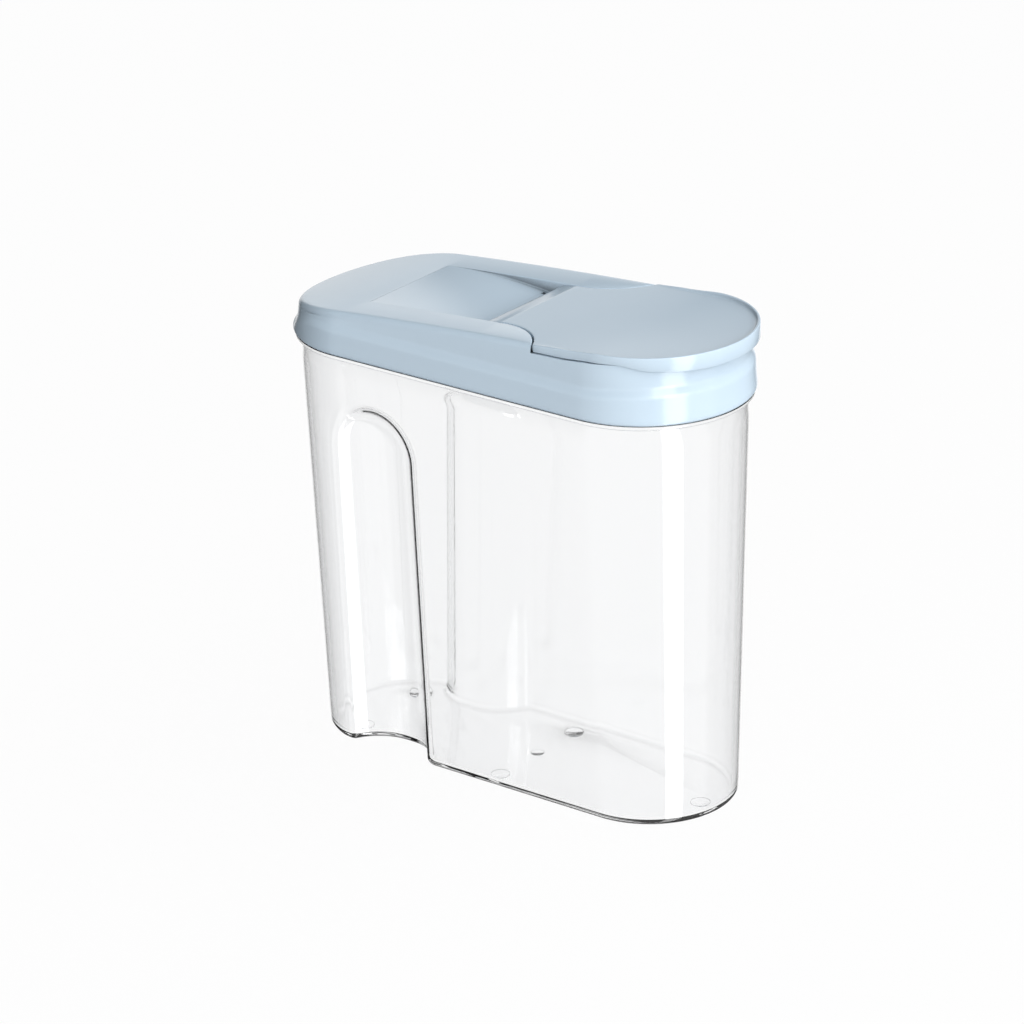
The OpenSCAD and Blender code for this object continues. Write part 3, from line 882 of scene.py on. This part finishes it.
# %% Seal and its ribs
for near, far in ((-1.3, -0.1), (2.1, 3.3)):
    rib = plan_stack("rib", spout_outline, [
        (far, TOP - 0.8), (far, TOP - 2.8), (far - 0.2, TOP - 3.0),
        (near + 0.2, TOP - 3.0), (near, TOP - 2.8), (near, TOP - 0.8)], ring=True)
    boolean(flap, rib, "UNION")
spout_seal = plan_stack("flap_gasket", spout_outline, [
    (2.0, TOP - 1.62), (2.0, TOP - 3.4), (1.85, TOP - 3.68), (1.5, TOP - 3.8),
    (0.5, TOP - 3.8), (0.15, TOP - 3.68), (0.0, TOP - 3.4), (0.0, TOP - 1.62)], ring=True)

for piece in (flap, spout_seal):
    slice_across(piece, [14 + 4 * i for i in range(24)])
    bend(piece, lambda x, y, z: z + top_z(x) - TOP)
print("flap bent", len(flap.data.polygons))

# %% [markdown]
# ## The ring seal in the lid
# A soft silicone ring lies on the shelf inside the lid's skirt and presses on the tub's rim.

# %% Ring seal
seal_rows = [(39.55, 183.6), (39.8, 183.32), (41.8, 183.32), (42.05, 183.6),
             (42.05, 184.8), (41.8, 185.08), (39.8, 185.08), (39.55, 184.8)]
lid_seal = plan_stack("lid_gasket", racetrack, seal_rows, ring=True)
print("ring seal", len(lid_seal.data.polygons), "faces")

# %% [markdown]
# ## Putting the pieces on their bodies
# Each new piece stands in for the CAD solids of the same name, which are hidden, and rides
# on an empty named for their body.

# %% Replace and ride
for piece, solid, body in ((tub, "tub", "tub"), (lid, "lid", "lid"), (flap, "flap", "flap"),
                           (lid_seal, "lid_seal", "lid"), (spout_seal, "spout_seal", "flap")):
    pick(piece)
    bpy.ops.object.shade_smooth_by_angle(angle=math.radians(30))
    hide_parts(solid)
    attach(piece, body)
    print(piece.name, "replaces", solid, "and rides on", body)
deselect()

# %% [markdown]
# ## Helpers for nodes
# Each finish is a net of nodes. These helpers add a node and set or link what goes into it.


# %% Node helpers
def feed(tree, socket, value):
    """Link an input to the output of another node, or give it a plain value."""
    if isinstance(value, bpy.types.NodeSocket):
        tree.links.new(value, socket)
    else:
        socket.default_value = value


def node(tree, kind, place, **values):
    """Add a node; each named value feeds an input or sets a property."""
    made = tree.nodes.new(kind)
    made.location = place
    for key, value in values.items():
        if key in made.inputs:
            feed(tree, made.inputs[key], value)
        else:
            setattr(made, key, value)
    return made


def maths(tree, kind, place, *values):
    """Add a Math node and give its output."""
    made = node(tree, "ShaderNodeMath", place, operation=kind)
    for socket, value in zip(made.inputs, values):
        feed(tree, socket, value)
    return made.outputs["Value"]


print("materials so far", len(bpy.data.materials))

# %% [markdown]
# ## Marks that every moulding shares
# Moulded plastic is never quite even: the gloss drifts, the face swims a little, and a fine
# grain of handling marks lies over it. One node group makes all three from the piece's own
# coordinates, and every material sets their strength.


# %% Moulded surface group
def build_surface_group():
    """Group with the roughness, the height and the colour drift of a moulded surface."""
    group = bpy.data.node_groups.new("moulded_surface", "ShaderNodeTree")
    for label, value in (("Flow Size", 30.0), ("Gloss Low", 0.1), ("Gloss High", 0.2),
                         ("Grain Size", 900.0), ("Grain Depth", 0.2)):
        socket = group.interface.new_socket(label, in_out="INPUT", socket_type="NodeSocketFloat")
        socket.default_value = value
    for label in ("Roughness", "Height", "Drift"):
        group.interface.new_socket(label, in_out="OUTPUT", socket_type="NodeSocketFloat")
    given = node(group, "NodeGroupInput", (-900, 0)).outputs
    place = node(group, "ShaderNodeTexCoord", (-900, -250))
    stretch = node(group, "ShaderNodeMapping", (-700, -250), Vector=place.outputs["Object"],
                   Scale=(1.0, 1.0, 0.35)).outputs["Vector"]
    flow = node(group, "ShaderNodeTexNoise", (-480, 100), Vector=stretch, Scale=given["Flow Size"],
                Detail=3.0, Roughness=0.5).outputs["Fac"]
    grain = node(group, "ShaderNodeTexNoise", (-480, -200), Vector=stretch, Scale=given["Grain Size"],
                 Detail=4.0, Roughness=0.6)
    scuff = node(group, "ShaderNodeTexVoronoi", (-480, -480), feature="DISTANCE_TO_EDGE",
                 Vector=stretch, Scale=55.0)
    hair = node(group, "ShaderNodeMapRange", (-250, -480), **{
        "Value": scuff.outputs["Distance"], "From Min": 0.0, "From Max": 0.02, "To Min": 0.06, "To Max": 0.0})
    gloss = node(group, "ShaderNodeMapRange", (-200, 150), **{
        "Value": flow, "From Min": 0.35, "From Max": 0.65, "To Min": given["Gloss Low"],
        "To Max": given["Gloss High"]})
    node(group, "NodeGroupOutput", (700, 0), Drift=flow,
         Roughness=maths(group, "ADD", (100, 60), gloss.outputs["Result"], hair.outputs["Result"]),
         Height=maths(group, "MULTIPLY_ADD", (100, -200), grain.outputs["Fac"], given["Grain Depth"], flow))
    return group


surface_group = build_surface_group()
print("group sockets", [i.name for i in surface_group.interface.items_tree])

# %% [markdown]
# ## How each material starts
# All three plastics are a Principled shader that takes its roughness and bump from the group.


# %% Start of a material
def start_material(name, marks, bump, distance):
    """A Principled shader whose roughness and bump come from the surface group."""
    made = bpy.data.materials.new(name)
    made.use_nodes = True
    tree = made.node_tree
    shader = tree.nodes["Principled BSDF"]
    group = node(tree, "ShaderNodeGroup", (-700, 0), node_tree=surface_group)
    for key, value in zip(("Flow Size", "Gloss Low", "Gloss High", "Grain Size", "Grain Depth"), marks):
        group.inputs[key].default_value = value
    dent = node(tree, "ShaderNodeBump", (-300, -350), Strength=bump, Distance=distance,
                Height=group.outputs["Height"])
    tree.links.new(dent.outputs["Normal"], shader.inputs["Normal"])
    tree.links.new(group.outputs["Roughness"], shader.inputs["Roughness"])
    return made, tree, shader, group


def mixed(tree, place, fac, low, high, kind="RGBA", **values):
    """Mix two colours, or two numbers, by fac."""
    mix = node(tree, "ShaderNodeMix", place, data_type=kind, **values)
    first, result = (6, 2) if kind == "RGBA" else (2, 0)
    for index, value in ((0, fac), (first, low), (first + 1, high)):
        feed(tree, mix.inputs[index], (*value, 1) if isinstance(value, tuple) else value)
    return mix.outputs[result]


print("a material starts from", surface_group.name)

# %% [markdown]
# ## Clear plastic
# The tub is clear styrene: nearly invisible face on and grey at its edges. The grey is set
# in the colour by the angle of view. Part of it is the wall's own tint, where one looks
# through its length. Part of it is painted shade that stands in for the dark reflections
# along the edges. Light has to reach the floor inside, so for shadow and diffuse rays the
# plastic is simply see-through.

# %% Clear plastic
clear, tree, shader, group = start_material("clear_styrene", (14.0, 0.0, 0.03, 400.0, 0.0), 0.12, 0.0006)
shader.inputs["Transmission Weight"].default_value = 1.0
shader.inputs["IOR"].default_value = 1.57
angle = node(tree, "ShaderNodeLayerWeight", (-900, 350), Blend=0.5)
# partly painted shade: grey towards grazing angles, for the wall's tint and for the dark reflections along
# the edges
edge_tint_and_painted_shade = node(tree, "ShaderNodeValToRGB", (-700, 350), Fac=angle.outputs["Facing"])
face_on, grazing_painted_grey = edge_tint_and_painted_shade.color_ramp.elements
face_on.color, face_on.position = (0.976, 0.979, 0.982, 1), 0.28
grazing_painted_grey.color = (0.32, 0.33, 0.35, 1)
for place, grey in ((0.5, 0.925), (0.7, 0.85), (0.86, 0.66)):
    edge_tint_and_painted_shade.color_ramp.elements.new(place).color = (grey, grey + 0.003, grey + 0.008, 1)
tree.links.new(edge_tint_and_painted_shade.outputs["Color"], shader.inputs["Base Color"])
path = node(tree, "ShaderNodeLightPath", (0, 500)).outputs
either = maths(tree, "MAXIMUM", (200, 500), path["Is Shadow Ray"], path["Is Diffuse Ray"])
through = node(tree, "ShaderNodeBsdfTransparent", (200, 300), Color=(0.985, 0.985, 0.99, 1))
blend = node(tree, "ShaderNodeMixShader", (450, 300), Fac=either)
tree.links.new(shader.outputs["BSDF"], blend.inputs[1])
tree.links.new(through.outputs["BSDF"], blend.inputs[2])
tree.links.new(blend.outputs["Shader"], tree.nodes["Material Output"].inputs["Surface"])
print(clear.name, "has", len(tree.nodes), "nodes")

# %% [markdown]
# ## Blue lid plastic
# Lid and flap are one pale grey-blue polypropylene with a soft gloss, whose colour drifts
# slightly with its flow. Narrow gaps and recesses get painted shade: the colour is multiplied
# by how open each place is, so they look darker than the light alone makes them.

# %% Blue plastic
blue, tree, shader, group = start_material(
    "blue_polypropylene", (22.0, 0.14, 0.2, 1500.0, 0.06), 0.1, 0.0004)
tone = mixed(tree, (-400, 200), group.outputs["Drift"], (0.50, 0.615, 0.72), (0.535, 0.65, 0.75))
# painted shade: ambient occlusion darkens the colour in gaps and recesses
near = node(tree, "ShaderNodeAmbientOcclusion", (-600, 450), Distance=0.008, samples=8, only_local=True)
painted_gap_shade = node(tree, "ShaderNodeMapRange", (-400, 450), **{
    "Value": near.outputs["AO"], "From Min": 0.45, "From Max": 0.92, "To Min": 0.08, "To Max": 1.0})
shade = mixed(tree, (-200, 250), 1.0, tone, painted_gap_shade.outputs["Result"], blend_type="MULTIPLY")
tree.links.new(shade, shader.inputs["Base Color"])
shader.inputs["IOR"].default_value = 1.5
print(blue.name, "has", len(tree.nodes), "nodes")

# %% [markdown]
# ## Milky silicone
# The two seals are soft white silicone, matt and a little cloudy, with a faint bloom.

# %% Silicone
rubber, tree, shader, group = start_material("milky_silicone", (60.0, 0.4, 0.55, 2400.0, 0.4), 0.25, 0.0002)
tone = mixed(tree, (-400, 200), group.outputs["Drift"], (0.78, 0.80, 0.82), (0.87, 0.88, 0.89))
tree.links.new(tone, shader.inputs["Base Color"])
shader.inputs["Subsurface Weight"].default_value = 0.3
shader.inputs["Subsurface Scale"].default_value = 0.002
print(rubber.name, "has", len(tree.nodes), "nodes")

# %% [markdown]
# ## Dressing the pieces
# Every piece gets one material.

# %% Dress the pieces
for piece, made, slot in ((tub, clear, "clear_plastic"), (lid, blue, "lid_plastic"),
                          (flap, blue, "lid_plastic"), (lid_seal, rubber, "silicone"),
                          (spout_seal, rubber, "silicone")):
    piece.data.materials.clear()
    piece.data.materials.append(made)
    print(piece.name, "wears", made.name)

# %% [markdown]
# ## Floor
# To the camera, and through clear plastic, most of the pale floor's colour is plain white, so
# that it runs into the white backdrop, and the rest shows the shadow. Light that bounces off
# it is weaker, as off a small sheet of paper, so the tub's sides aren't lit from below.

# %% Floor
WHITE_SHARE = 0.9
deselect()
bpy.ops.mesh.primitive_plane_add(size=12, location=(0, 0, -0.0002))
floor = bpy.context.object
floor.name = "floor"
floor_paint = bpy.data.materials.new("floor_paint")
floor_paint.use_nodes = True
tree = floor_paint.node_tree
paint = tree.nodes["Principled BSDF"]
path = node(tree, "ShaderNodeLightPath", (-700, 100)).outputs
tone = mixed(tree, (-400, -100), path["Is Diffuse Ray"], (0.93, 0.93, 0.935), (0.4, 0.4, 0.4))
tree.links.new(tone, paint.inputs["Base Color"])
paint.inputs["Roughness"].default_value = 0.7
paint.inputs["Specular IOR Level"].default_value = 0.1
seen = maths(tree, "MAXIMUM", (-200, 400), path["Is Camera Ray"], path["Is Glossy Ray"])
seen = maths(tree, "MAXIMUM", (0, 400), seen, path["Is Transmission Ray"])
share = maths(tree, "MULTIPLY", (150, 400), seen, WHITE_SHARE)
glow = node(tree, "ShaderNodeEmission", (0, 0), Color=(1, 1, 1, 1), Strength=1.0)
mix = node(tree, "ShaderNodeMixShader", (350, 300), Fac=share)
tree.links.new(paint.outputs[0], mix.inputs[1])
tree.links.new(glow.outputs["Emission"], mix.inputs[2])
tree.links.new(mix.outputs["Shader"], tree.nodes["Material Output"].inputs["Surface"])
floor.data.materials.append(floor_paint)
floor.visible_glossy = False
print("floor", round(floor.dimensions.x, 1), "m wide, white share", WHITE_SHARE)

# %% [markdown]
# ## Backdrop and soft light
# The camera sees plain white. What the plastic mirrors is built from the direction of each
# ray: a white backdrop behind the tub, dark on both sides of it and above, and a bright box
# on the right that draws the tall highlight. Dark cards beside clear plastic do the same in
# a real studio, or its outline melts into the white. Soft light falls from above and right.

# %% Sky
BOX_BEARING = 22.5       # degrees from +X towards -Y
world = bpy.data.worlds.new("studio")
bpy.context.scene.world = world
world.use_nodes = True
tree = world.node_tree
sky = tree.nodes["Background"]
compass = node(tree, "ShaderNodeTexCoord", (-1300, 0))
ray = node(tree, "ShaderNodeSeparateXYZ", (-1100, 0), Vector=compass.outputs["Generated"]).outputs


def soft_step(source, start, end, low, high, place):
    """A soft step of a value from low to high."""
    step = node(tree, "ShaderNodeMapRange", place, interpolation_type="SMOOTHSTEP", **{
        "Value": source, "From Min": start, "From Max": end, "To Min": low, "To Max": high})
    return step.outputs["Result"]


bearing = maths(tree, "ARCTAN2", (-900, -300), ray["Y"], ray["X"])
off_box = maths(tree, "ABSOLUTE", (-550, -300),
                maths(tree, "ADD", (-700, -300), bearing, math.radians(BOX_BEARING)))
box = soft_step(off_box, math.radians(10.5), math.radians(13), 5.0, 0.0, (-350, -300))
box_top = soft_step(ray["Z"], 0.2, 0.3, 1.0, 0.0, (-350, -500))
print("box at bearing", -BOX_BEARING)

# %% Mirrored and soft light
z_squared = maths(tree, "MULTIPLY", (-1000, 100), ray["Z"], ray["Z"])
flatness = maths(tree, "SQRT", (-800, 100), maths(tree, "SUBTRACT", (-900, 100), 1.0001, z_squared))
away = maths(tree, "ADD", (-800, 0), maths(tree, "MULTIPLY", (-900, 0), ray["X"], -0.62),
             maths(tree, "MULTIPLY", (-900, -100), ray["Y"], 0.785))
behind = maths(tree, "DIVIDE", (-700, 50), away, flatness)
backdrop = soft_step(behind, 0.91, 0.975, 0.0, 1.0, (-550, 100))
room = soft_step(behind, -0.35, 0.0, 1.0, 0.0, (-550, -50))
side = soft_step(ray["X"], -0.3, 0.4, 0.02, 0.55, (-550, -180))
around = maths(tree, "MAXIMUM", (-250, 50), maths(tree, "MAXIMUM", (-400, 50), backdrop, room), side)
above = soft_step(ray["Z"], 0.2, 0.4, 1.1, 0.12, (-700, 250))
mirror = maths(tree, "ADD", (0, 0), maths(tree, "MULTIPLY", (-350, 150), around, above),
               maths(tree, "MULTIPLY", (-150, -350), box, box_top))
soft_left = soft_step(ray["X"], -0.4, 0.45, 0.02, 1.0, (-700, 600))
soft_above = soft_step(ray["Z"], 0.1, 0.8, 2.2, 1.6, (-700, 850))
light = maths(tree, "MULTIPLY", (-350, 700), soft_left, soft_above)
path = node(tree, "ShaderNodeLightPath", (-100, 600)).outputs
seen = maths(tree, "MAXIMUM", (150, 500), path["Is Camera Ray"], path["Is Transmission Ray"])
level = mixed(tree, (150, 200), path["Is Glossy Ray"], light, mirror, "FLOAT")
level = mixed(tree, (350, 200), seen, level, 1.0, "FLOAT")
sky.inputs["Color"].default_value = (1, 1, 1, 1)
tree.links.new(level, sky.inputs["Strength"])
print("sky nodes", len(tree.nodes))

# %% [markdown]
# ## Lamp
# One tall soft box on the right gives the soft side light and the faint shadow.

# %% Lamp
LAMP_PLACE, LAMP_AIM = Vector((1.7, -1.15, 0.7)), Vector((0, 0, 0.12))
lamp = bpy.data.lights.new("tall_box", "AREA")
lamp.shape, lamp.size, lamp.size_y = "RECTANGLE", 0.9, 1.2
lamp.energy = 14.5
holder = bpy.data.objects.new("tall_box", lamp)
bpy.context.scene.collection.objects.link(holder)
holder.location = LAMP_PLACE
holder.rotation_euler = (LAMP_AIM - LAMP_PLACE).to_track_quat("-Z", "Y").to_euler()

# %% [markdown]
# ## Picture settings
# The Standard view shows a colour as it is written.

# %% Picture settings
bpy.context.scene.view_settings.view_transform = "Standard"
